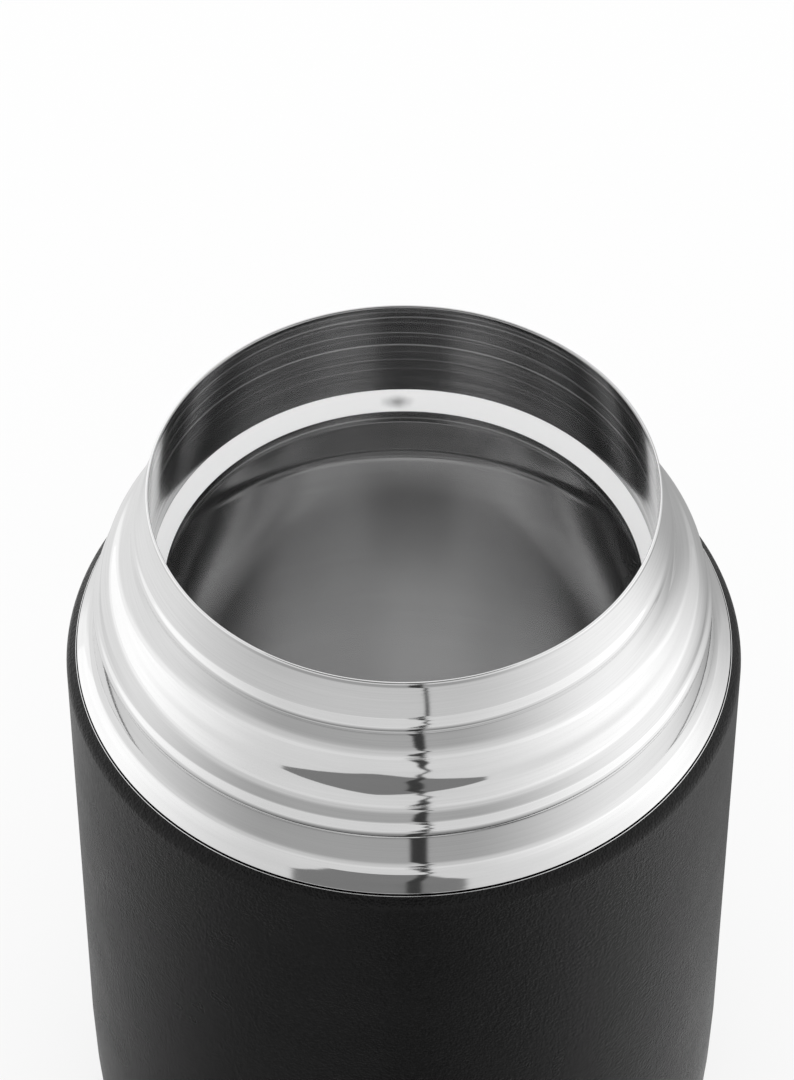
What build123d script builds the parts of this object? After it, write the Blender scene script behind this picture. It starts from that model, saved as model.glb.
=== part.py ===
# Insulated food jar: a double-walled vacuum vessel with a wide stepped neck.
# Millimetres, +Z up. The origin is on the jar's axis, on the surface it stands on.
from build123d import *
import math
import os

# Overall
body_diameter = 100.0
total_height = 144.0

# Sheet thicknesses
shell_wall = 0.6
neck_wall = 0.5
liner_wall = 0.5
bottom_wall = 0.8
cover_wall = 0.6

# Shoulder of the outer shell, where the neck ring sits on it
shoulder_width = 1.4
shoulder_slope = 45.0
spigot_gap = 0.05
spigot_depth = 4.0

# Neck ring, from the shoulder up to the rim: how far each stretch steps in and how tall it is
lower_step_width = 2.7
lower_step_rise = 3.2
lower_wall_width = 0.65
lower_wall_rise = 6.0
lower_thread_depth = 0.3
lower_thread_edge = 0.45
lower_flank_width = 0.95
lower_flank_rise = 1.6
middle_wall_width = 0.7
middle_wall_rise = 4.1
upper_step_width = 4.15
upper_step_rise = 3.5
upper_wall_width = 0.75
upper_wall_rise = 5.6
upper_thread_depth = 0.35
upper_thread_edge = 0.5
upper_flank_width = 0.85
upper_flank_rise = 1.75
collar_width = 1.45
collar_rise = 5.25
rim_land = 0.8
rim_round = 0.42
step_round = 4.4
thread_round = 0.3
bend_round = 0.8

# Inner liner
neck_bore_flare = 0.85
ledge_depth = 17.9
ledge_width = 1.8
ledge_rise = 2.95
lip_length = 2.4
liner_shoulder_rise = 17.05
liner_shoulder_round = 8.0
vacuum_gap = 3.7
liner_seam_drop = 8.7
liner_floor_height = 16.5
liner_corner_round = 14.0

# Heat shield: a foil wrapped round the liner's belly and a disc under its floor
foil_thickness = 0.2
foil_gap = 0.05
foil_top_margin = 5.0

# Toe and lip of the outer shell
toe_height = 29.0
toe_lean = 5.1
lip_inset = 8.0
lip_height = 0.8
heel_round = 6.0

# Pressed bottom that closes the vacuum
bottom_height = 7.5
bottom_flange_height = 5.0
bottom_flange_gap = 0.05
bottom_bend_round = 1.6
seal_recess_radius = 5.0
seal_recess_depth = 1.5
evacuation_hole_radius = 0.8

# Glass seal, its cover plate, and the getter with its clip
seal_thickness = 1.1
seal_gap = 0.05
seal_plate_radius = 9.0
seal_plate_thickness = 0.4
getter_radius = 4.5
getter_thickness = 2.0
getter_offset = 24.0
clip_thickness = 0.4
clip_width = 4.0
clip_gap = 0.1
clip_foot = 3.0

# Base cover and pad
cover_gap = 0.15
cover_height = 1.5
cover_recess_margin = 3.0
cover_recess_depth = 1.0
cover_round = 1.2
pad_margin = 2.5
pad_width = 11.5
pad_groove_margin = 5.4
pad_groove_width = 1.2
pad_groove_depth = 0.4
pad_round = 0.4

# Radii that follow from the sizes above
body_radius = body_diameter / 2
joint_radius = body_radius - shoulder_width
liner_radius = body_radius - shell_wall - vacuum_gap - liner_wall
lip_radius = body_radius - lip_inset
pad_outer_radius = lip_radius - pad_margin
pad_inner_radius = pad_outer_radius - pad_width


def below_rim(drop):
    return total_height - drop


def neck_outline():
    """Outside corners of the neck ring from the rim down to the shoulder joint, with their roundings."""
    stretches = [
        (-lower_step_width, lower_step_rise, step_round),
        (-lower_wall_width, lower_wall_rise, thread_round),
        (lower_thread_depth, lower_thread_edge, thread_round),
        (-lower_flank_width, lower_flank_rise, bend_round),
        (-middle_wall_width, middle_wall_rise, step_round),
        (-upper_step_width, upper_step_rise, step_round),
        (-upper_wall_width, upper_wall_rise, thread_round),
        (upper_thread_depth, upper_thread_edge, thread_round),
        (-upper_flank_width, upper_flank_rise, bend_round),
        (-collar_width, collar_rise, bend_round),
        (0.0, rim_land, rim_round),
    ]
    neck_rise = sum(rise for _, rise, _ in stretches)
    radius = joint_radius
    height = total_height - neck_rise
    corners = [(radius, height)]
    roundings = []
    for inward, rise, rounding in stretches:
        radius += inward
        height += rise
        corners.append((radius, height))
        roundings.append(rounding)
    corners.reverse()
    roundings.pop()
    roundings.reverse()
    return corners, roundings


def unit(start, end):
    length = math.dist(start, end)
    return (end[0] - start[0]) / length, (end[1] - start[1]) / length


def turn_of(before, corner, after):
    """Signed turn at a corner in radians, positive to the left."""
    ax, az = unit(before, corner)
    bx, bz = unit(corner, after)
    return math.atan2(ax * bz - az * bx, ax * bx + az * bz)


def offset_corners(corners, wall):
    """The same bent line moved sideways by the wall: to its right, or to its left if negative."""
    moved = []
    for index, (radius, height) in enumerate(corners):
        before = unit(*corners[index - 1:index + 1]) if index else unit(*corners[0:2])
        after = unit(*corners[index:index + 2]) if index < len(corners) - 1 else before
        normal = (before[1] + after[1], -before[0] - after[0])
        scale = wall / (1 + before[0] * after[0] + before[1] * after[1])
        moved.append((radius + normal[0] * scale, height + normal[1] * scale))
    return moved


def offset_roundings(corners, roundings, wall):
    """Roundings of the moved line: larger outside a bend, smaller inside it."""
    moved = []
    for index, rounding in enumerate(roundings):
        turn = turn_of(*corners[index:index + 3])
        moved.append(max(rounding + math.copysign(wall, turn * wall), 0.0) if rounding else 0.0)
    return moved


def revolved(corners, roundings):
    """A closed outline of radius and height, turned about the jar's axis."""
    outline = FilletPolyline(*corners, radius=roundings, close=True)
    return revolve(Plane.XZ * make_face(outline), Axis.Z)


def bent_sheet(corners, roundings, wall, top_round=0.0):
    """A pressed sheet of one thickness that follows a bent line."""
    inner = offset_corners(corners, wall)
    inner_roundings = offset_roundings(corners, roundings, wall)
    radii = [top_round] + roundings + [0.0, 0.0] + inner_roundings[::-1] + [0.0]
    return revolved(corners + inner[::-1], radii)


def on_line_at_radius(start, end, radius):
    share = (radius - start[0]) / (end[0] - start[0])
    return radius, start[1] + share * (end[1] - start[1])


neck_corners, neck_roundings = neck_outline()
joint_height = neck_corners[-1][1]
rim_radius = neck_corners[0][0]
rim_bore_radius = rim_radius - neck_wall - liner_wall
shell_edge_radius = joint_radius - shell_wall / math.sin(math.radians(shoulder_slope))


def make_neck_ring():
    """Polished neck: stepped outside with two rolled thread ridges, and a spigot inside the shell."""
    spigot_outer = shell_edge_radius - spigot_gap
    spigot_inner = spigot_outer - neck_wall
    spigot_bottom = joint_height - spigot_depth
    inner = offset_corners(neck_corners, neck_wall)
    inner[-1] = on_line_at_radius(inner[-2], inner[-1], spigot_inner)
    inner_roundings = offset_roundings(neck_corners, neck_roundings, neck_wall)
    spigot = [(spigot_outer, joint_height), (spigot_outer, spigot_bottom), (spigot_inner, spigot_bottom)]
    corners = neck_corners + spigot + inner[::-1]
    radii = [rim_round] + neck_roundings + [0.0] * 5 + inner_roundings[::-1] + [0.0]
    return revolved(corners, radii)


def toe_corners():
    """Corner between the straight wall and the leaning toe, the heel corner, and the toe's radius."""
    lean = math.radians(toe_lean)
    heel_leg = heel_round * math.tan((math.pi / 2 - lean) / 2)
    toe_end = lip_height + (heel_leg + bend_round) * math.cos(lean)
    corner_height = (toe_height * math.cos(lean) + toe_end) / (1 + math.cos(lean))
    toe_radius = (toe_height - corner_height) / math.tan(lean / 2)
    heel_radius = body_radius - (corner_height - lip_height) * math.tan(lean)
    return (body_radius, corner_height), (heel_radius, lip_height), toe_radius


def make_outer_shell():
    """Coated side wall: rounded shoulder, straight side, gently curved toe and an in-turned lip."""
    slope = math.radians(shoulder_slope)
    shoulder_corner = (body_radius, joint_height - shoulder_width / math.tan(slope))
    leg = shoulder_width / math.sin(slope)
    shoulder_round = 0.95 * leg / math.tan(slope / 2)
    toe_corner, heel_corner, toe_radius = toe_corners()
    outer = [(joint_radius, joint_height), shoulder_corner, toe_corner, heel_corner, (lip_radius, lip_height)]
    roundings = [shoulder_round, toe_radius, heel_round]
    inner = offset_corners(outer, shell_wall)
    inner[0] = (shell_edge_radius, joint_height)
    inner_roundings = offset_roundings(outer, roundings, shell_wall)
    return revolved(outer + inner[::-1], [0.0] + roundings + [0.0, 0.0] + inner_roundings[::-1] + [0.0])


def shell_bore_at(height):
    """Inside radius of the outer shell's toe at a height."""
    toe_corner, _, toe_radius = toe_corners()
    arc_drop = min(max(toe_height - height, 0.0), toe_radius * math.sin(math.radians(toe_lean)))
    inner_radius = toe_radius - shell_wall
    return body_radius - toe_radius + math.sqrt(inner_radius ** 2 - arc_drop ** 2)


belly_top = below_rim(ledge_depth + ledge_rise + lip_length + liner_shoulder_rise)
liner_seam_height = belly_top - liner_seam_drop


def make_liner_neck():
    """Upper liner: rim, mouth wall, sealing ledge, lip, and the shoulder that widens to the belly."""
    ledge_top = (rim_bore_radius + neck_bore_flare, below_rim(ledge_depth))
    lip_top = (ledge_top[0] - ledge_width, ledge_top[1] - ledge_rise)
    lip_bottom = (lip_top[0], lip_top[1] - lip_length)
    corners = [
        (rim_bore_radius, total_height),
        (rim_bore_radius, below_rim(rim_land)),
        ledge_top,
        lip_top,
        lip_bottom,
        (liner_radius, belly_top),
        (liner_radius, liner_seam_height),
    ]
    roundings = [0.0, thread_round, thread_round, bend_round, liner_shoulder_round]
    return bent_sheet(corners, roundings, -liner_wall, top_round=rim_round)


def make_liner_cup():
    """Deep-drawn lower liner: belly wall and floor, welded to the upper liner at the seam."""
    corners = [(liner_radius, liner_seam_height), (liner_radius, liner_floor_height), (0.0, liner_floor_height)]
    return bent_sheet(corners, [liner_corner_round], -liner_wall)


def make_copper_foil():
    """Heat shield wrapped round the straight wall of the liner's belly."""
    radius = liner_radius + liner_wall + foil_gap
    top = liner_seam_height - foil_top_margin
    bottom = liner_floor_height + liner_corner_round
    return bent_sheet([(radius, top), (radius, bottom)], [], -foil_thickness)


def make_foil_disc():
    """Heat shield disc under the flat of the liner's floor."""
    disc_radius = liner_radius - liner_corner_round
    disc = Cylinder(disc_radius, foil_thickness, align=(Align.CENTER, Align.CENTER, Align.MAX))
    return Pos(0, 0, liner_floor_height - liner_wall - foil_gap) * disc


def make_outer_bottom():
    """Pressed bottom welded inside the shell, with a recess and a hole for the vacuum seal."""
    flange_top = bottom_height + bottom_flange_height
    lower = (shell_bore_at(bottom_height) - bottom_flange_gap, bottom_height)
    upper = (shell_bore_at(flange_top) - bottom_flange_gap, flange_top)
    recess_height = bottom_height + seal_recess_depth
    corners = [
        upper,
        lower,
        (seal_recess_radius, bottom_height),
        (seal_recess_radius, recess_height),
        (evacuation_hole_radius, recess_height),
    ]
    return bent_sheet(corners, [bottom_bend_round, 0.0, 0.0], bottom_wall)


def make_vacuum_seal():
    """Glass bead fused into the recess of the bottom, over the evacuation hole."""
    recess_height = bottom_height + seal_recess_depth
    radius = seal_recess_radius - seal_gap
    bead = Cylinder(radius, seal_thickness, align=(Align.CENTER, Align.CENTER, Align.MAX))
    return Pos(0, 0, recess_height) * fillet(bead.edges().sort_by(Axis.Z)[0], seal_thickness / 2)


def make_seal_plate():
    """Small plate over the glass seal, on the underside of the bottom."""
    plate = Cylinder(seal_plate_radius, seal_plate_thickness, align=(Align.CENTER, Align.CENTER, Align.MAX))
    return Pos(0, 0, bottom_height) * plate


def make_getter():
    """Getter pill that keeps the vacuum, lying on the pressed bottom."""
    pill = Cylinder(getter_radius, getter_thickness, align=(Align.CENTER, Align.CENTER, Align.MIN))
    pill = fillet(pill.edges().filter_by(GeomType.CIRCLE), getter_thickness / 5)
    return Pos(getter_offset, 0, bottom_height + bottom_wall) * pill


def make_getter_clip():
    """Bent strap over the getter, spot-welded to the bottom by its two feet."""
    half_span = getter_radius + clip_gap
    crown = getter_thickness + clip_gap
    corners = [
        (-half_span - clip_foot, 0),
        (-half_span, 0),
        (-half_span, crown),
        (half_span, crown),
        (half_span, 0),
        (half_span + clip_foot, 0),
    ]
    outer = offset_corners(corners, -clip_thickness)
    strap = make_face(Polyline(*corners, *outer[::-1], close=True))
    strap = extrude(Plane.XZ * strap, clip_width / 2, both=True)
    return Pos(getter_offset, 0, bottom_height + bottom_wall) * Rot(0, 0, 90) * strap


def make_base_cover():
    """Cover pressed into the shell's lip, its skirt welded under the pressed bottom."""
    radius = lip_radius - cover_gap
    recess_height = cover_height + cover_recess_depth
    recess_radius = pad_inner_radius - cover_recess_margin
    corners = [
        (radius, bottom_height),
        (radius, cover_height),
        (recess_radius, cover_height),
        (recess_radius - cover_recess_depth, recess_height),
        (0.0, recess_height),
    ]
    return bent_sheet(corners, [cover_round, bend_round, bend_round], cover_wall)


def make_base_pad():
    """Soft ring that the jar stands on, bonded to the cover, with a shallow groove."""
    ring = Cylinder(pad_outer_radius, cover_height, align=(Align.CENTER, Align.CENTER, Align.MIN))
    ring -= Cylinder(pad_inner_radius, cover_height, align=(Align.CENTER, Align.CENTER, Align.MIN))
    ring = fillet(ring.edges().group_by(Axis.Z)[0], pad_round)
    groove_radius = pad_outer_radius - pad_groove_margin
    groove = Cylinder(groove_radius, pad_groove_depth * 2)
    groove -= Cylinder(groove_radius - pad_groove_width, pad_groove_depth * 2)
    return ring - groove


pieces = {
    "outer_shell": make_outer_shell,
    "neck_ring": make_neck_ring,
    "liner_neck": make_liner_neck,
    "liner_cup": make_liner_cup,
    "copper_foil": make_copper_foil,
    "foil_disc": make_foil_disc,
    "outer_bottom": make_outer_bottom,
    "vacuum_seal": make_vacuum_seal,
    "seal_plate": make_seal_plate,
    "getter": make_getter,
    "getter_clip": make_getter_clip,
    "base_cover": make_base_cover,
    "base_pad": make_base_pad,
}

os.makedirs("parts", exist_ok=True)
for name, make in pieces.items():
    export_step(make(), f"parts/{name}.step")
    print(name)
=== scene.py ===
import math
import bmesh
import bpy
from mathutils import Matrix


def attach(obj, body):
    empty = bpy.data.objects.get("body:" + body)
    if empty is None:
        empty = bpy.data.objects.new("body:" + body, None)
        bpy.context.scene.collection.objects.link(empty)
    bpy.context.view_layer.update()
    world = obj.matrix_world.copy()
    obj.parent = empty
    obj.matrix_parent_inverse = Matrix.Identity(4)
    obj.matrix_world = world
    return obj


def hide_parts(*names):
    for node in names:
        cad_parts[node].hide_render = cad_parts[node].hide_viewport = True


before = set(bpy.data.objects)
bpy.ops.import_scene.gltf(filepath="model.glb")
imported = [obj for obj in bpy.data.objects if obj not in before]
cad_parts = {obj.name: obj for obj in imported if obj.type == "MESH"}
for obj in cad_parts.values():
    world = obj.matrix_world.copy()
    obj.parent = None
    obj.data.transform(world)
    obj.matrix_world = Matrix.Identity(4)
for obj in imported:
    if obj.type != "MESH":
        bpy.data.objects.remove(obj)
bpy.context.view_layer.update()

mm = 0.001
scene = bpy.context.scene
scene.view_settings.view_transform = "Standard"
scene.cycles.glossy_bounces = 10  # light goes round many times inside a steel liner

jar = {
    "rimHeight": 144.0,   # mm, and so is every size below
    "jointHeight": 111.25,
    "sides": 256,         # flat facets round each turned piece
    "arcStep": 4.0,       # degrees that one segment of a rounded corner may turn
    "smoothAngle": 38.0,  # degrees: a sharper bend than this stays a crease
    "ringReach": 0.02,    # how far off a point may lie and still count as on a ring
    "sameReach": 0.002,   # what counts as the same point or height
}


def pickNothing():
    bpy.ops.object.select_all(action="DESELECT")


def pickOnly(piece):
    pickNothing()
    piece.select_set(True)
    bpy.context.view_layer.objects.active = piece


def editMode(piece):
    pickOnly(piece)
    bpy.ops.object.mode_set(mode="EDIT")


def objectMode():
    bpy.ops.object.mode_set(mode="OBJECT")


def pickRing(piece, radius, height):
    # selects the edges of one turned ring, by radius and height in mm
    mesh = bmesh.from_edit_mesh(piece.data)
    bpy.ops.mesh.select_mode(type="EDGE")
    bpy.ops.mesh.select_all(action="DESELECT")
    reach = jar["ringReach"] * mm

    def onRing(point):
        return abs(math.hypot(point.x, point.y) - radius * mm) < reach and abs(point.z - height * mm) < reach

    for edge in mesh.edges:
        edge.select = all(onRing(vertex.co) for vertex in edge.verts)
    mesh.select_flush_mode()
    bmesh.update_edit_mesh(piece.data)


def cornerTurn(before, corner, after):
    # the angle that an outline turns through at a corner
    ax, az = corner[0] - before[0], corner[1] - before[1]
    bx, bz = after[0] - corner[0], after[1] - corner[1]
    return abs(math.atan2(ax * bz - az * bx, ax * bx + az * bz))


def roundRing(piece, corner, rounding, turn):
    # bevels one ring into an arc of the given radius
    pickRing(piece, corner[0], corner[1])
    count = max(2, math.ceil(math.degrees(turn) / jar["arcStep"]))
    bpy.ops.mesh.bevel(offset=rounding * math.tan(turn / 2) * mm, offset_type="OFFSET", segments=count,
                       profile=0.5, affect="EDGES", clamp_overlap=True)


def turnPiece(name, outline, closeEnd=False):
    # a ring pulled along an outline of (radius, height, rounding), as on a lathe
    pickNothing()
    radius, height = outline[0][:2]
    bpy.ops.mesh.primitive_circle_add(vertices=jar["sides"], radius=radius * mm, location=(0, 0, height * mm))
    piece = bpy.context.object
    piece.name = piece.data.name = name
    editMode(piece)
    bpy.ops.mesh.select_all(action="SELECT")
    for (nearRadius, nearHeight, *_), (farRadius, farHeight, *_) in zip(outline, outline[1:]):
        rise = (0, 0, (farHeight - nearHeight) * mm)
        bpy.ops.mesh.extrude_region_move(TRANSFORM_OT_translate={"value": rise})
        share = farRadius / nearRadius
        bpy.ops.transform.resize(value=(share, share, 1), center_override=(0, 0, farHeight * mm))
    if closeEnd:
        bpy.ops.mesh.merge(type="CENTER")
    objectMode()
    bpy.ops.object.transform_apply(location=True, rotation=True, scale=True)
    editMode(piece)
    for before, corner, after in zip(outline, outline[1:], outline[2:]):
        if corner[2]:
            roundRing(piece, corner, corner[2], cornerTurn(before, corner, after))
    objectMode()
    return piece


def faceWays(piece, outward):
    # turns every face away from the axis, or towards it
    editMode(piece)
    bpy.ops.mesh.select_all(action="SELECT")
    bpy.ops.mesh.normals_make_consistent(inside=False)
    mesh = bmesh.from_edit_mesh(piece.data)
    balance = 0.0
    for face in mesh.faces:
        middle = face.calc_center_median()
        balance += (face.normal.x * middle.x + face.normal.y * middle.y) * face.calc_area()
    if (balance > 0) != outward:
        bpy.ops.mesh.flip_normals()
    objectMode()


def thicken(piece, wall):
    # gives a sheet its wall, on the side that its faces look away from
    pickOnly(piece)
    solid = piece.modifiers.new("wall", "SOLIDIFY")
    solid.thickness = wall * mm
    solid.offset = -1.0
    solid.use_even_offset = True
    solid.use_quality_normals = True
    bpy.ops.object.modifier_apply(modifier=solid.name)


def roundEdge(piece, corner, rounding):
    # eases a square sheet edge after the wall is there
    editMode(piece)
    roundRing(piece, corner, rounding, math.pi / 2)
    objectMode()


def finishPiece(piece, material, slotName, *nodes):
    # smooth shading, the finish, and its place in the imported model
    pickOnly(piece)
    bpy.ops.object.shade_smooth_by_angle(angle=math.radians(jar["smoothAngle"]))
    piece.data.materials.clear()
    piece.data.materials.append(material)
    if nodes:
        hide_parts(*nodes)
    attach(piece, "root")
    return piece


class Wiring:
    # a material's or world's node tree, with short ways to add and join nodes

    def __init__(self, owner):
        owner.use_nodes = True
        self.tree = owner.node_tree
        self.tree.nodes.clear()

    def add(self, kind, inputs=None, **settings):
        node = self.tree.nodes.new(kind)
        for key, value in settings.items():
            setattr(node, key, value)
        for key, value in (inputs or {}).items():
            self.feed(value, node.inputs[key])
        return node

    def feed(self, value, socket):
        if isinstance(value, bpy.types.NodeSocket):
            self.tree.links.new(value, socket)
        elif isinstance(value, bpy.types.Node):
            self.tree.links.new(value.outputs[0], socket)
        else:
            socket.default_value = value

    def math(self, operation, *values):
        node = self.add("ShaderNodeMath", operation=operation)
        for value, socket in zip(values, node.inputs):
            self.feed(value, socket)
        return node.outputs[0]

    def between(self, value, low, high, toLow=0.0, toHigh=1.0, kind="SMOOTHSTEP"):
        node = self.add("ShaderNodeMapRange", interpolation_type=kind)
        sockets = ("Value", "From Min", "From Max", "To Min", "To Max")
        for name, number in zip(sockets, (value, low, high, toLow, toHigh)):
            self.feed(number, node.inputs[name])
        return node.outputs["Result"]

    def mixColors(self, share, first, second):
        node = self.add("ShaderNodeMix", data_type="RGBA")
        self.feed(share, node.inputs[0])
        self.feed(first, node.inputs[6])
        self.feed(second, node.inputs[7])
        return node.outputs[2]

    def blend(self, share, first, second):
        # first where share is 0, second where it is 1
        part = self.math("MULTIPLY", share, self.math("SUBTRACT", second, first))
        return self.math("ADD", first, part)

    def vector(self, x, y, z):
        return self.add("ShaderNodeCombineXYZ", {"X": x, "Y": y, "Z": z}).outputs[0]

    def length(self, vector):
        return self.add("ShaderNodeVectorMath", {0: vector}, operation="LENGTH").outputs["Value"]

    def objectPoint(self):
        return self.add("ShaderNodeTexCoord").outputs["Object"]

    def noise(self, vector, scale, detail, roughness=0.5):
        return self.add("ShaderNodeTexNoise", {"Vector": vector, "Scale": scale, "Detail": detail,
                                               "Roughness": roughness}).outputs["Fac"]

    def turn(self, part):
        # degrees round the jar, with 0 in front and the right side positive
        front = self.math("MULTIPLY", part.outputs["Y"], -1.0)
        return self.math("DEGREES", self.math("ARCTAN2", part.outputs["X"], front))


# what all turned metal has in common
turnedPattern = {
    "smallestRadius": 0.0001,     # m: keeps points on the axis apart
    "radiusShare": 0.7,           # how much a step outwards counts beside a step up
    "fineNoise": (3.0, 0.6),      # detail and roughness
    "broadNoise": (4.0, 0.55),
    "colorRange": (0.3, 0.7),     # the part of the noise that goes from dark to light
    "glossRange": (0.25, 0.75),
    "bandBlur": 0.1,              # mm
    "deepShare": 0.8,             # how much of the deep colour covers the rings
    "deepRelief": 0.2,            # how much of the relief is left there
}


def turnedPosition(wires, around, along):
    # a position whose grain runs in rings about the jar's axis, with no seam
    part = wires.add("ShaderNodeSeparateXYZ", {"Vector": wires.objectPoint()})
    radius = wires.length(wires.vector(part.outputs["X"], part.outputs["Y"], 0.0))
    safe = wires.math("MAXIMUM", radius, turnedPattern["smallestRadius"])
    x = wires.math("MULTIPLY", wires.math("DIVIDE", part.outputs["X"], safe), around)
    y = wires.math("MULTIPLY", wires.math("DIVIDE", part.outputs["Y"], safe), around)
    outwards = wires.math("MULTIPLY", radius, turnedPattern["radiusShare"])
    rings = wires.math("MULTIPLY", wires.math("ADD", part.outputs["Z"], outwards), along)
    return wires.vector(x, y, rings)


def paintedReflectionShare(wires, look):
    # share of one soft spot with a frayed edge: a painted dark reflection
    x, y, drop = look["place"]
    wide, high = look["halfSize"]
    middle = (x * mm, y * mm, (jar["rimHeight"] - drop) * mm)
    point = wires.objectPoint()
    reach = (wide * mm, wide * mm, high * mm)
    off = wires.add("ShaderNodeVectorMath", {0: point, 1: middle}, operation="SUBTRACT")
    away = wires.length(wires.add("ShaderNodeVectorMath", {0: off, 1: reach}, operation="DIVIDE"))
    cloud = wires.noise(point, look["frayScale"], 1.0)
    fray = wires.math("MULTIPLY", wires.math("SUBTRACT", cloud, 0.5), look["fray"])
    return wires.between(wires.math("ADD", away, fray), *look["fade"], look["strength"], 0.0)


def bandShare(wires, height, high, low):
    # share of a level band between two heights
    blur = turnedPattern["bandBlur"] * mm
    above = wires.between(height, low - blur, low + blur)
    below = wires.between(height, high - blur, high + blur, 1.0, 0.0)
    return wires.math("MULTIPLY", above, below)


def turnedSteel(name, look):
    # polished metal that was turned on a lathe: fine rings in colour, gloss and relief
    pattern = turnedPattern
    material = bpy.data.materials.new(name)
    wires = Wiring(material)
    fine = wires.noise(turnedPosition(wires, look["around"], look["lines"]), 1.0, *pattern["fineNoise"])
    broad = wires.noise(turnedPosition(wires, look["patches"], look["bands"]), 1.0, *pattern["broadNoise"])
    tone = wires.math("ADD", wires.math("MULTIPLY", fine, look["fineShare"]),
                      wires.math("MULTIPLY", broad, 1 - look["fineShare"]))
    shade = wires.between(tone, *pattern["colorRange"], kind="LINEAR")
    color = wires.mixColors(shade, (*look["dark"], 1), (*look["light"], 1))
    gloss = wires.between(tone, *pattern["glossRange"], look["roughest"], look["smoothest"], kind="LINEAR")
    point = wires.add("ShaderNodeSeparateXYZ", {"Vector": wires.objectPoint()})
    metallic = 1.0
    for drop, lean, width, strength in look.get("toolMarks", ()):
        # a light, dull line left by the tool, a little out of level
        height = wires.math("ADD", point.outputs["Z"], wires.math("MULTIPLY", point.outputs["X"], lean))
        off = wires.math("ABSOLUTE", wires.math("SUBTRACT", height, (jar["rimHeight"] - drop) * mm))
        line = wires.between(off, 0.0, width * mm, strength, 0.0)
        color = wires.mixColors(line, color, (*look["markColor"], 1))
        metallic = wires.math("SUBTRACT", metallic, wires.math("MULTIPLY", line, look["markDullness"]))
    if "satinBand" in look:
        # a dull ring, with one painted dark reflection on it
        high, low = ((jar["rimHeight"] - drop) * mm for drop in look["satinBand"])
        band = bandShare(wires, point.outputs["Z"], high, low)
        color = wires.mixColors(band, color, (*look["satinColor"], 1))
        # the painted dark reflection goes into the ledge's colour
        color = wires.mixColors(paintedReflectionShare(wires, look["paintedReflection"]), color, (*look["paintedReflection"]["color"], 1))
        gloss = wires.blend(band, gloss, look["satinRoughness"])
        metallic = wires.blend(band, metallic, look["satinMetal"])
    reliefStrength = look["reliefStrength"]
    if "deepFrom" in look:
        # further down the brushed rings give way to an even satin
        low, high = ((jar["rimHeight"] - drop) * mm for drop in look["deepFrom"])
        deep = wires.between(point.outputs["Z"], high, low, 1.0, 0.0)
        covered = wires.math("MULTIPLY", deep, pattern["deepShare"])
        color = wires.mixColors(covered, color, (*look["deepColor"], 1))
        gloss = wires.blend(deep, gloss, look["deepRoughness"])
        reliefStrength = wires.between(deep, 0.0, 1.0, reliefStrength, pattern["deepRelief"] * reliefStrength)
    relief = wires.add("ShaderNodeBump", {
        "Height": fine, "Strength": reliefStrength, "Distance": look["relief"] * mm,
    })
    way = wires.add("ShaderNodeTangent", direction_type="RADIAL", axis="Z")
    metal = wires.add("ShaderNodeBsdfPrincipled", {
        "Base Color": color, "Metallic": metallic, "Roughness": gloss,
        "Anisotropic": look["anisotropic"], "Normal": relief, "Tangent": way,
    })
    wires.add("ShaderNodeOutputMaterial", {"Surface": metal})
    return material


# what all coats and moulded pieces have in common
coatPattern = {
    "poreSize": 2.2,             # beside the grain's own size
    "poreNoise": (3.0, 0.6),     # detail and roughness
    "cloudDetail": 3.0,
    "pebbleShare": 0.6,          # of the relief
    "poreShare": 0.7,
    "speckShare": 0.7,           # of the colour
    "cloudShare": 0.4,
    "colorRange": (0.35, 0.95),
    "glossRange": (0.3, 0.7),
}


def grainedCoat(name, look):
    # powder coat or moulded rubber: one colour with a fine pebbled grain
    pattern = coatPattern
    material = bpy.data.materials.new(name)
    wires = Wiring(material)
    point = wires.objectPoint()
    grainScale = 1 / (look["grain"] * mm)
    poreScale = 1 / (look["grain"] * pattern["poreSize"] * mm)
    pebbles = wires.add("ShaderNodeTexVoronoi", {"Vector": point, "Scale": grainScale}, feature="SMOOTH_F1")
    pores = wires.noise(point, poreScale, *pattern["poreNoise"])
    clouds = wires.noise(point, 1 / (look["cloud"] * mm), pattern["cloudDetail"])
    speck = wires.math("ADD", wires.math("MULTIPLY", pebbles.outputs["Distance"], pattern["pebbleShare"]),
                       wires.math("MULTIPLY", pores, pattern["poreShare"]))
    tone = wires.math("ADD", wires.math("MULTIPLY", speck, pattern["speckShare"]),
                      wires.math("MULTIPLY", clouds, pattern["cloudShare"]))
    shade = wires.between(tone, *pattern["colorRange"], kind="LINEAR")
    color = wires.mixColors(shade, (*look["dark"], 1), (*look["light"], 1))
    gloss = wires.between(clouds, *pattern["glossRange"], look["smoothest"], look["roughest"], kind="LINEAR")
    relief = wires.add("ShaderNodeBump", {
        "Height": speck, "Strength": look["reliefStrength"], "Distance": look["relief"] * mm,
    })
    coat = wires.add("ShaderNodeBsdfPrincipled", {
        "Base Color": color, "Metallic": 0.0, "Roughness": gloss,
        "Specular IOR Level": look["specular"], "Normal": relief,
    })
    wires.add("ShaderNodeOutputMaterial", {"Surface": coat})
    return material


outerShellLook = {
    "wall": 0.6,
    "lipRadius": 42.0,
    "lipHeight": 0.8,
    "heelRadius": 48.464,
    "heelRound": 6.0,
    "toeHeight": 18.010,
    "toeRound": 246.77,
    "bodyRadius": 49.98,
    "shoulderRound": 2.0,
    "shoulderHeight": 109.9,
    "jointRadius": 48.6,
}
blackCoatLook = {
    "dark": (0.0003, 0.0003, 0.0003), "light": (0.005, 0.005, 0.0051), "grain": 0.33, "cloud": 9.0,
    "smoothest": 0.22, "roughest": 0.28, "relief": 0.2, "reliefStrength": 1.0, "specular": 0.21,
}


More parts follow.
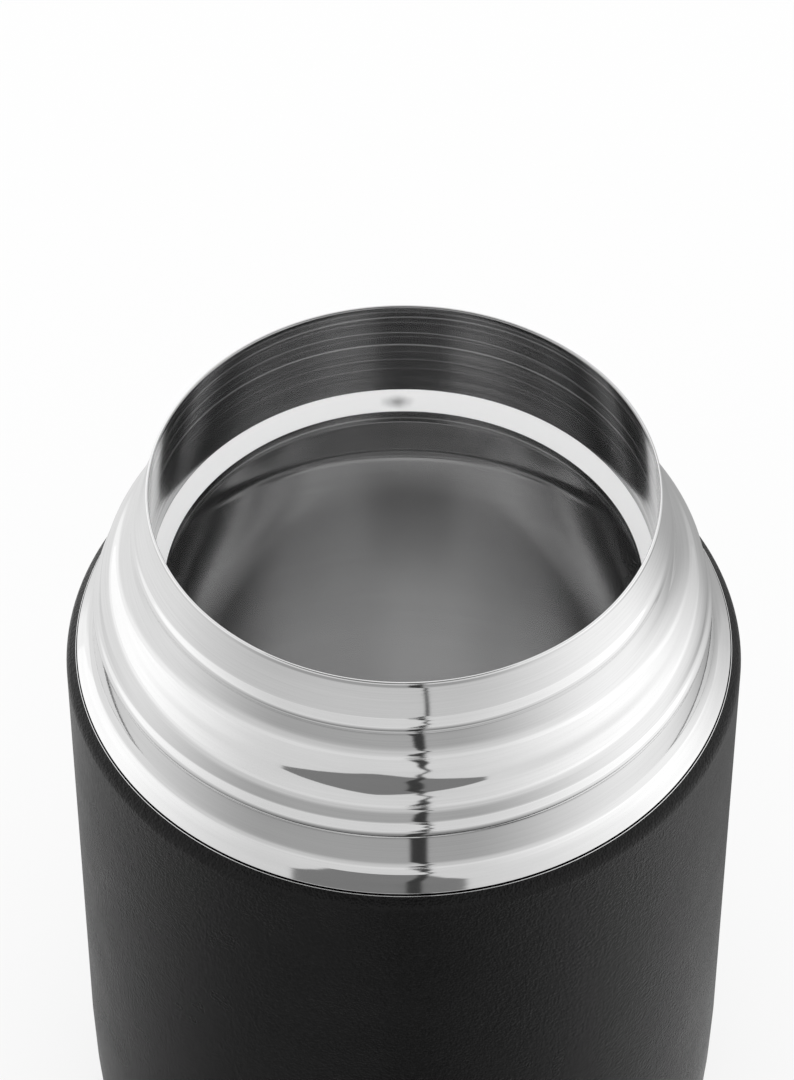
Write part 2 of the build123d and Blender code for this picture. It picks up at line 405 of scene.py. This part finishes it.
def makeOuterShell():
    look = outerShellLook
    outline = [
        (look["lipRadius"], look["lipHeight"], 0),
        (look["heelRadius"], look["lipHeight"], look["heelRound"]),
        (look["bodyRadius"], look["toeHeight"], look["toeRound"]),
        (look["bodyRadius"], look["shoulderHeight"], look["shoulderRound"]),
        (look["jointRadius"], jar["jointHeight"], 0),
    ]
    piece = turnPiece("outerShell", outline)
    faceWays(piece, outward=True)
    thicken(piece, look["wall"])
    return finishPiece(piece, grainedCoat("blackCoat", blackCoatLook), "black_coating", "outer_shell")


neckRingLook = {
    "wall": 0.35,
    "rimRound": 0.33,
    # from the hidden foot inside the shell up to the lowest step: radius, drop below the rim, rounding
    "spigot": [
        (47.70, 36.75, 0),
        (47.70, 32.95, 0.2),
        (48.24, 32.72, 0.1),
        (48.31, 32.38, 0.08),
        (46.78, 30.93, 9.0),
    ],
    # the bare wall from the lowest step up to the rim; the pairs with no rounding only carry the threads
    "wallLine": [
        (45.70, 29.60, 4.0),
        (45.12, 23.55, 0),
        (44.60, 21.50, 0),
        (44.00, 17.48, 5.6),
        (39.78, 13.90, 7.9),
        (39.00, 8.30, 0),
        (38.50, 6.05, 0),
        (37.05, 0.80, 0.8),
        (37.05, 0.0, 0),
    ],
    # each thread: its crest's drop in front, its climb for each degree, its two ends and how each end fades
    "upperThread": {"crest": 7.15, "climb": 0.0078, "from": -175.0, "to": 48.0, "fade": (30.0, 34.0)},
    "lowerThread": {"crest": 22.50, "climb": 0.0078, "from": -150.0, "to": 85.0, "fade": (30.0, 28.0)},
    # one thread's section, rolled with a rounder upper side: distance below its crest, how far it stands out
    "threadSection": [
        (-1.7, 0.0), (-1.5, 0.0), (-1.33, 0.01), (-1.17, 0.045), (-1.0, 0.11), (-0.85, 0.183), (-0.7, 0.258),
        (-0.55, 0.332), (-0.4, 0.392), (-0.22, 0.437), (0.0, 0.455), (0.15, 0.44), (0.3, 0.4), (0.5, 0.325),
        (0.7, 0.245), (0.9, 0.16), (1.05, 0.097), (1.18, 0.047), (1.3, 0.015), (1.45, 0.0), (1.65, 0.0),
    ],
}
polishedSteelLook = {
    "dark": (0.83, 0.83, 0.83), "light": (0.92, 0.92, 0.92), "around": 1.6, "lines": 5200.0,
    "patches": 2.5, "bands": 420.0, "fineShare": 0.6, "roughest": 0.075, "smoothest": 0.035,
    "relief": 0.01, "reliefStrength": 0.25, "anisotropic": 0.6,
}
polishedSteel = turnedSteel("polishedSteel", polishedSteelLook)


def wallRadius(drop):
    # radius in mm of the bare neck wall at a drop below the rim
    line = neckRingLook["wallLine"]
    for (lowRadius, lowDrop, _), (highRadius, highDrop, _) in zip(line, line[1:]):
        if highDrop <= drop <= lowDrop:
            share = (drop - highDrop) / (lowDrop - highDrop)
            return highRadius + share * (lowRadius - highRadius)
    return line[-1][0]


def threadRings(thread):
    # the wall's own rings where a thread will be raised, from its top down
    drops = [thread["crest"] + off for off, _ in neckRingLook["threadSection"]]
    return [(wallRadius(drop), drop, 0) for drop in drops]


def threadPlace(thread, turn):
    # the crest's shift down and the thread's strength at an angle round the jar
    start, end = thread["from"], thread["to"]
    leftFade, rightFade = thread["fade"]
    while turn > end + rightFade:
        turn -= 360.0
    if turn < start - leftFade:
        # the bare stretch leads from the lower end back up to the higher one
        bare = (start - leftFade - turn) / (360.0 - (end - start) - leftFade - rightFade)
        low, high = start - leftFade, end + rightFade
        return -thread["climb"] * (low + (high - low) * bare), 0.0
    strength = 1.0
    if turn > end:
        strength = (end + rightFade - turn) / rightFade
    elif turn < start:
        strength = (turn - start + leftFade) / leftFade
    return -thread["climb"] * turn, strength * strength * (3 - 2 * strength)


def runThread(piece, thread):
    # slides the thread's rings into a slow spiral and raises its ridge
    editMode(piece)
    mesh = bmesh.from_edit_mesh(piece.data)
    section = neckRingLook["threadSection"]
    for vertex in mesh.verts:
        drop = jar["rimHeight"] - vertex.co.z / mm
        for off, proud in section:
            if abs(drop - thread["crest"] - off) < jar["sameReach"]:
                turn = math.degrees(math.atan2(vertex.co.x, -vertex.co.y))
                shift, strength = threadPlace(thread, turn)
                newDrop = drop + shift
                radius = (wallRadius(newDrop) + proud * strength) * mm
                old = math.hypot(vertex.co.x, vertex.co.y)
                vertex.co.x *= radius / old
                vertex.co.y *= radius / old
                vertex.co.z = (jar["rimHeight"] - newDrop) * mm
                break
    bmesh.update_edit_mesh(piece.data)
    objectMode()


def makeNeckRing():
    look = neckRingLook
    lowStep, _, _, upperStep, upperStepTop, _, _, *rim = look["wallLine"]
    lowerThread = threadRings(look["lowerThread"])[::-1]
    upperThread = threadRings(look["upperThread"])[::-1]
    drops = [*look["spigot"], lowStep, *lowerThread, upperStep, upperStepTop, *upperThread, *rim]
    outline = [(radius, jar["rimHeight"] - drop, rounding) for radius, drop, rounding in drops]
    piece = turnPiece("neckRing", outline)
    runThread(piece, look["lowerThread"])
    runThread(piece, look["upperThread"])
    faceWays(piece, outward=True)
    thicken(piece, look["wall"])
    roundEdge(piece, outline[-1], look["rimRound"])
    return finishPiece(piece, polishedSteel, "polished_steel", "neck_ring")


jointBeadLook = {
    "radius": 48.5,     # from the jar's axis to the bead's own middle
    "drop": 32.74,
    "thickness": 0.06,  # half its width
    "sides": 10,
}


def makeJointBead():
    # the bare steel edge that shows between the neck and the coating
    look = jointBeadLook
    pickNothing()
    place = (look["radius"] * mm, 0, (jar["rimHeight"] - look["drop"]) * mm)
    bpy.ops.mesh.primitive_circle_add(vertices=look["sides"], radius=look["thickness"] * mm,
                                      location=place, rotation=(math.pi / 2, 0, 0))
    piece = bpy.context.object
    piece.name = piece.data.name = "jointBead"
    bpy.ops.object.transform_apply(location=True, rotation=True, scale=True)
    editMode(piece)
    bpy.ops.mesh.select_all(action="SELECT")
    bpy.ops.mesh.spin(steps=jar["sides"], angle=math.radians(360), center=(0, 0, 0), axis=(0, 0, 1))
    bpy.ops.mesh.select_all(action="SELECT")
    bpy.ops.mesh.remove_doubles(threshold=jar["sameReach"] * mm)
    bpy.ops.mesh.normals_make_consistent(inside=False)
    objectMode()
    return finishPiece(piece, polishedSteel, "polished_steel")


linerNeckLook = {
    "wall": 0.4,
    "rimRound": 0.06,
    "rimBack": 0.34,  # rounding of the hidden outer edge, which stays under the neck ring's
    # radius, drop below the rim, rounding
    "outline": [
        (45.20, 49.00, 0),
        (45.20, 40.30, 8.0),
        (35.10, 23.25, 0.8),
        (35.10, 20.85, 0.3),
        (36.90, 17.90, 0.3),
        (36.55, 0.80, 0.3),
        (36.55, 0.20, 0),
    ],
}
linerCupLook = {
    "wall": 0.5,
    "radius": 45.2,
    "top": 95.0,
    "floor": 16.5,
    "cornerRound": 14.0,
    "floorRings": (12.0, 2.0),  # rings in the flat floor, which only keep its faces slim
}
linerSteelLook = {
    "dark": (0.36, 0.36, 0.365), "light": (0.76, 0.76, 0.76), "around": 1.1, "lines": 2400.0,
    "patches": 1.4, "bands": 600.0, "fineShare": 0.65, "roughest": 0.16, "smoothest": 0.07,
    "relief": 0.012, "reliefStrength": 0.3, "anisotropic": 0.5,
    # marks of the tool inside the neck: drop below the rim, lean, width, strength
    "toolMarks": [
        (1.1, 0.004, 0.22, 0.45), (2.2, -0.012, 0.26, 0.8), (3.3, 0.006, 0.2, 0.4), (5.5, 0.016, 0.24, 0.7),
        (6.4, -0.008, 0.2, 0.35), (8.1, 0.010, 0.3, 1.0), (9.6, -0.012, 0.2, 0.3), (11.3, 0.014, 0.24, 0.4),
        (13.2, 0.0, 0.2, 0.3), (22.2, 0.0, 0.3, 0.8), (38.6, 0.0, 0.5, 0.5),
    ],
    "markColor": (0.98, 0.98, 0.98),
    "markDullness": 0.14,
    "satinBand": (17.9, 20.85),
    "satinColor": (0.97, 0.97, 0.97),
    "satinRoughness": 0.42,
    "satinMetal": 0.08,
    # a painted dark reflection on the ledge, put into its colour
    "paintedReflection": {
        "place": (-1.0, 36.1, 19.6),  # x, y and drop below the rim
        "halfSize": (2.7, 1.1),       # across and up
        "frayScale": 700.0,
        "fray": 0.5,
        "fade": (-0.3, 1.2),          # where it starts to thin out and where it ends
        "strength": 0.8,
        "color": (0.16, 0.16, 0.165),
    },
    "deepFrom": (27.0, 35.0),         # drops below the rim between which the deep satin sets in
    "deepColor": (0.65, 0.65, 0.65),
    "deepRoughness": 0.12,
}
linerSteel = turnedSteel("linerSteel", linerSteelLook)


def makeLinerNeck():
    look = linerNeckLook
    outline = [(radius, jar["rimHeight"] - drop, rounding) for radius, drop, rounding in look["outline"]]
    piece = turnPiece("linerNeck", outline)
    faceWays(piece, outward=False)
    thicken(piece, look["wall"])
    roundEdge(piece, outline[-1], look["rimRound"])
    roundEdge(piece, (outline[-1][0] + look["wall"], outline[-1][1]), look["rimBack"])
    return finishPiece(piece, linerSteel, "liner_steel", "liner_neck")


def makeLinerCup():
    look = linerCupLook
    outline = [
        (look["radius"], look["top"], 0),
        (look["radius"], look["floor"], look["cornerRound"]),
        *((radius, look["floor"], 0) for radius in look["floorRings"]),
    ]
    piece = turnPiece("linerCup", outline, closeEnd=True)
    faceWays(piece, outward=False)
    thicken(piece, look["wall"])
    return finishPiece(piece, linerSteel, "liner_steel", "liner_cup")


coverCoatLook = {
    "dark": (0.006, 0.006, 0.0065), "light": (0.012, 0.012, 0.0125), "grain": 0.35, "cloud": 7.0,
    "smoothest": 0.45, "roughest": 0.55, "relief": 0.03, "reliefStrength": 0.5, "specular": 0.4,
}
padRubberLook = {
    "dark": (0.012, 0.012, 0.0125), "light": (0.022, 0.022, 0.0225), "grain": 0.22, "cloud": 5.0,
    "smoothest": 0.7, "roughest": 0.82, "relief": 0.02, "reliefStrength": 0.4, "specular": 0.3,
}
basePadLook = {
    "outerRadius": 39.5,
    "innerRadius": 28.0,
    "top": 1.5,
    "edgeRound": 0.4,
    "grooves": (31.6, 33.5, 35.4),
    "grooveWidth": 0.9,
    "grooveDepth": 0.4,
    "grooveLean": 0.1,
    "grooveRound": 0.15,
}


def makeBasePad():
    look = basePadLook
    outline = [(look["innerRadius"], look["top"], 0), (look["innerRadius"], 0.0, look["edgeRound"])]
    half, lean, depth = look["grooveWidth"] / 2, look["grooveLean"], look["grooveDepth"]
    for radius in look["grooves"]:
        outline += [
            (radius - half, 0.0, look["grooveRound"]),
            (radius - half + lean, depth, look["grooveRound"]),
            (radius + half - lean, depth, look["grooveRound"]),
            (radius + half, 0.0, look["grooveRound"]),
        ]
    outline += [(look["outerRadius"], 0.0, look["edgeRound"]), (look["outerRadius"], look["top"], 0)]
    piece = turnPiece("basePad", outline)
    editMode(piece)
    bpy.ops.mesh.select_mode(type="EDGE")
    bpy.ops.mesh.select_all(action="DESELECT")
    bpy.ops.mesh.select_non_manifold()
    bpy.ops.mesh.bridge_edge_loops()
    bpy.ops.mesh.select_all(action="SELECT")
    bpy.ops.mesh.normals_make_consistent(inside=False)
    objectMode()
    return finishPiece(piece, grainedCoat("padRubber", padRubberLook), "pad_rubber", "base_pad")


pressedSteelLook = {
    "dark": (0.45, 0.45, 0.46), "light": (0.62, 0.62, 0.63), "around": 2.0, "lines": 2500.0,
    "patches": 3.0, "bands": 200.0, "fineShare": 0.4, "roughest": 0.42, "smoothest": 0.3,
    "relief": 0.01, "reliefStrength": 0.3, "anisotropic": 0.2,
}
copperLook = {
    "dark": (0.62, 0.27, 0.15), "light": (0.85, 0.45, 0.30), "around": 5.0, "lines": 900.0,
    "patches": 4.0, "bands": 120.0, "fineShare": 0.4, "roughest": 0.32, "smoothest": 0.18,
    "relief": 0.03, "reliefStrength": 0.4, "anisotropic": 0.0,
}
getterLook = {
    "dark": (0.06, 0.055, 0.05), "light": (0.16, 0.15, 0.14), "grain": 0.3, "cloud": 2.0,
    "smoothest": 0.7, "roughest": 0.85, "relief": 0.04, "reliefStrength": 0.6, "specular": 0.4,
}
sealGlassLook = {
    "dark": (0.02, 0.035, 0.03), "light": (0.05, 0.075, 0.065), "grain": 0.6, "cloud": 2.5,
    "smoothest": 0.06, "roughest": 0.14, "relief": 0.01, "reliefStrength": 0.2, "specular": 0.5,
}


def dressNodes():
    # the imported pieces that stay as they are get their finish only
    pressedSteel = turnedSteel("pressedSteel", pressedSteelLook)
    copper = turnedSteel("copperFoil", copperLook)
    dressing = {
        "outer_bottom": pressedSteel,
        "seal_plate": pressedSteel,
        "getter_clip": pressedSteel,
        "copper_foil": copper,
        "foil_disc": copper,
        "vacuum_seal": grainedCoat("sealGlass", sealGlassLook),
        "getter": grainedCoat("getterAlloy", getterLook),
        "base_cover": grainedCoat("coverCoat", coverCoatLook),
    }
    for name, material in dressing.items():
        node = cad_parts[name]
        node.data.materials.clear()
        node.data.materials.append(material)


studio = {
    "floorRadius": 6.0,         # m
    "floorSides": 128,
    "floorGrey": 0.51,          # its own colour, which catches the shadow
    "floorWhite": 1.04,         # its plain brightness
    "floorShadowShare": 0.25,   # how much of the floor's own shading the camera sees
    "softLight": 1.7,           # what lights plain surfaces
    # brightness in reflections, on the floor, low on the screens and high on them
    "front": (0.38, 0.70, 0.68),
    "left": (0.80, 1.12, 0.84),
    "right": (1.00, 1.15, 0.88),
    "back": (0.42, 0.60, 1.0),
    "floorFront": 0.60,         # the floor in front, away from the jar
    "floorReach": (0.2, 0.45),  # m from the axis
    "floorGain": 1.25,          # how much brighter the floor is near the horizon
    "floorFar": (0.5, 1.3),
    "floorShade": 0.6,          # how much light the jar's own shade leaves
    "floorNear": (0.10, 0.20),
    "lowHigh": (15.0, 42.0),    # degrees up, from low to high
    "leftSpan": (40.0, 100.0, 148.0, 180.0),    # degrees round: where the left light fades in and out
    "rightSpan": (15.0, 82.0, 88.0, 136.0),
    "backSpan": (90.0, 150.0),
    "overhead": 0.8,
    "overheadFrom": (55.0, 75.0),
    "cardAt": -9.6,             # degrees round: a dark card overhead that dips low in front
    "cardLow": 21.8,            # degrees up, where its two straight lower edges would meet
    "cardSlope": 0.543,         # how fast they rise to each side
    "cardRound": 3.0,           # degrees round over which they turn into each other
    "cardBlur": 0.8,
    "cardTop": (80.0, 88.0),
    "cardTone": 0.2,
    "gapEdge": 7.3,             # degrees round: right edge of the narrow dark gap between two soft screens
    "gapHalf": (0.7, 3.0),
    "gapSwell": (0.11, 2.6),    # how its width changes with height: rate and phase
    "gapWander": 3.0,           # degrees to each side
    "gapWanderRate": 0.09,
    "gapBlur": 0.7,
    "gapOnFloor": -90.0,        # degrees of height that each metre of floor stands for
    "gapTone": 0.04,
}


def roundTone(wires, turn, front, left, right, back):
    # brightness round the jar: dim in front, a light on each side, softer behind
    away = wires.math("MULTIPLY", turn, -1.0)
    tone = wires.blend(wires.between(wires.math("ABSOLUTE", turn), *studio["backSpan"]), front, back)
    for side, span, light in ((away, studio["leftSpan"], left), (turn, studio["rightSpan"], right)):
        fadeIn = wires.between(side, *span[:2])
        fadeOut = wires.between(side, *span[2:], 1.0, 0.0)
        tone = wires.blend(wires.math("MULTIPLY", fadeIn, fadeOut), tone, light)
    return tone


def darkGap(wires, turn, height):
    # share of a narrow upright dark line that swells and wanders a little as it rises
    along = wires.math("MULTIPLY", height, studio["gapWanderRate"])
    sway = wires.add("ShaderNodeTexNoise", {"W": along, "Scale": 1.0, "Detail": 0.0}, noise_dimensions="1D")
    shift = wires.math("MULTIPLY", wires.math("SUBTRACT", sway.outputs["Fac"], 0.5), 2 * studio["gapWander"])
    rate, phase = studio["gapSwell"]
    swell = wires.math("SINE", wires.math("MULTIPLY_ADD", height, rate, phase))
    half = wires.between(swell, -1.0, 1.0, *studio["gapHalf"], kind="LINEAR")
    middle = wires.math("SUBTRACT", wires.math("ADD", shift, studio["gapEdge"]), half)
    off = wires.math("SUBTRACT", wires.math("ABSOLUTE", wires.math("SUBTRACT", turn, middle)), half)
    return wires.between(off, -studio["gapBlur"], studio["gapBlur"], 1.0, 0.0)


def seenBy(wires, plain, forGloss, forCamera):
    # one look for plain surfaces, one for what steel mirrors and one for the camera
    ray = wires.add("ShaderNodeLightPath")
    isMirror = wires.math("MAXIMUM", ray.outputs["Is Glossy Ray"], ray.outputs["Is Transmission Ray"])
    bounced = wires.add("ShaderNodeMixShader", {0: isMirror, 1: plain, 2: forGloss})
    return wires.add("ShaderNodeMixShader", {0: ray.outputs["Is Camera Ray"], 1: bounced, 2: forCamera})


def makeFloor():
    pickNothing()
    bpy.ops.mesh.primitive_circle_add(vertices=studio["floorSides"], radius=studio["floorRadius"],
                                      fill_type="NGON", location=(0, 0, 0))
    floor = bpy.context.object
    floor.name = "studioFloor"
    material = bpy.data.materials.new("studioFloor")
    wires = Wiring(material)
    point = wires.objectPoint()
    distance = wires.length(point)
    turn = wires.turn(wires.add("ShaderNodeSeparateXYZ", {"Vector": point}))
    grey = studio["floorGrey"]
    plain = wires.add("ShaderNodeBsdfDiffuse", {"Color": (grey, grey, grey, 1)})
    white = wires.add("ShaderNodeEmission", {"Color": (1, 1, 1, 1), "Strength": studio["floorWhite"]})
    forCamera = wires.add("ShaderNodeMixShader", {0: studio["floorShadowShare"], 1: white, 2: plain})
    front = wires.between(distance, *studio["floorReach"], studio["front"][0], studio["floorFront"])
    mirrored = roundTone(wires, turn, front, studio["left"][0], studio["right"][0], studio["back"][0])
    far = wires.between(distance, *studio["floorFar"], 1.0, studio["floorGain"])
    near = wires.between(distance, *studio["floorNear"], studio["floorShade"], 1.0)
    mirrored = wires.math("MULTIPLY", wires.math("MULTIPLY", mirrored, far), near)
    gap = darkGap(wires, turn, wires.math("MULTIPLY", distance, studio["gapOnFloor"]))
    mirrored = wires.blend(gap, mirrored, studio["gapTone"])
    forGloss = wires.add("ShaderNodeEmission", {"Color": (1, 1, 1, 1), "Strength": mirrored})
    seen = seenBy(wires, plain, forGloss, forCamera)
    clear = wires.add("ShaderNodeBsdfTransparent")
    under = wires.add("ShaderNodeNewGeometry").outputs["Backfacing"]
    both = wires.add("ShaderNodeMixShader", {0: under, 1: seen, 2: clear})
    wires.add("ShaderNodeOutputMaterial", {"Surface": both})
    floor.data.materials.append(material)


def cardShare(wires, turn, height):
    # share of the dark card: a wedge that points down in front, with its tip rounded
    away = wires.math("SUBTRACT", turn, studio["cardAt"])
    away = wires.math("SQRT", wires.math("MULTIPLY_ADD", away, away, studio["cardRound"] ** 2))
    edge = wires.math("MULTIPLY_ADD", away, studio["cardSlope"], studio["cardLow"])
    above = wires.between(wires.math("SUBTRACT", height, edge), -studio["cardBlur"], studio["cardBlur"])
    return wires.math("MULTIPLY", above, wires.between(height, *studio["cardTop"], 1.0, 0.0))


def makeWorld():
    world = bpy.data.worlds.new("studioWorld")
    scene.world = world
    wires = Wiring(world)
    way = wires.add("ShaderNodeSeparateXYZ", {"Vector": wires.add("ShaderNodeTexCoord").outputs["Generated"]})
    height = wires.math("DEGREES", wires.math("ARCSINE", way.outputs["Z"]))
    turn = wires.turn(way)
    places = ("front", "left", "right", "back")
    tones = [wires.between(height, *studio["lowHigh"], *studio[place][1:]) for place in places]
    toned = roundTone(wires, turn, *tones)
    toned = wires.blend(wires.between(height, *studio["overheadFrom"]), toned, studio["overhead"])
    toned = wires.blend(cardShare(wires, turn, height), toned, studio["cardTone"])
    toned = wires.blend(darkGap(wires, turn, height), toned, studio["gapTone"])
    plain = wires.add("ShaderNodeBackground", {"Color": (1, 1, 1, 1), "Strength": studio["softLight"]})
    mirrored = wires.add("ShaderNodeBackground", {"Color": (1, 1, 1, 1), "Strength": toned})
    white = wires.add("ShaderNodeBackground", {"Color": (1, 1, 1, 1), "Strength": 1.0})
    wires.add("ShaderNodeOutputWorld", {"Surface": seenBy(wires, plain, mirrored, white)})


view = {
    "tilt": 42.34,                          # degrees up from looking straight down
    "place": (-0.0010, -0.4678, 0.6462),    # m
    "lens": 160.0,                          # mm
    "sensor": 36.0,                         # mm along the picture's long side
    "clip": (0.01, 50.0),                   # m
}


def makeCamera():
    camera = bpy.data.objects.new("camera", bpy.data.cameras.new("camera"))
    scene.collection.objects.link(camera)
    camera.location = view["place"]
    camera.rotation_euler = (math.radians(view["tilt"]), 0, 0)
    camera.data.lens = view["lens"]
    camera.data.sensor_width = view["sensor"]
    camera.data.clip_start, camera.data.clip_end = view["clip"]
    scene.camera = camera


makeCamera()
makeWorld()
makeFloor()
print("studio ready")
makeOuterShell()
print("outer shell ready")
makeNeckRing()
makeJointBead()
print("neck ring ready")
makeLinerNeck()
makeLinerCup()
print("liner ready")
makeBasePad()
dressNodes()
print("underside and inside nodes ready")
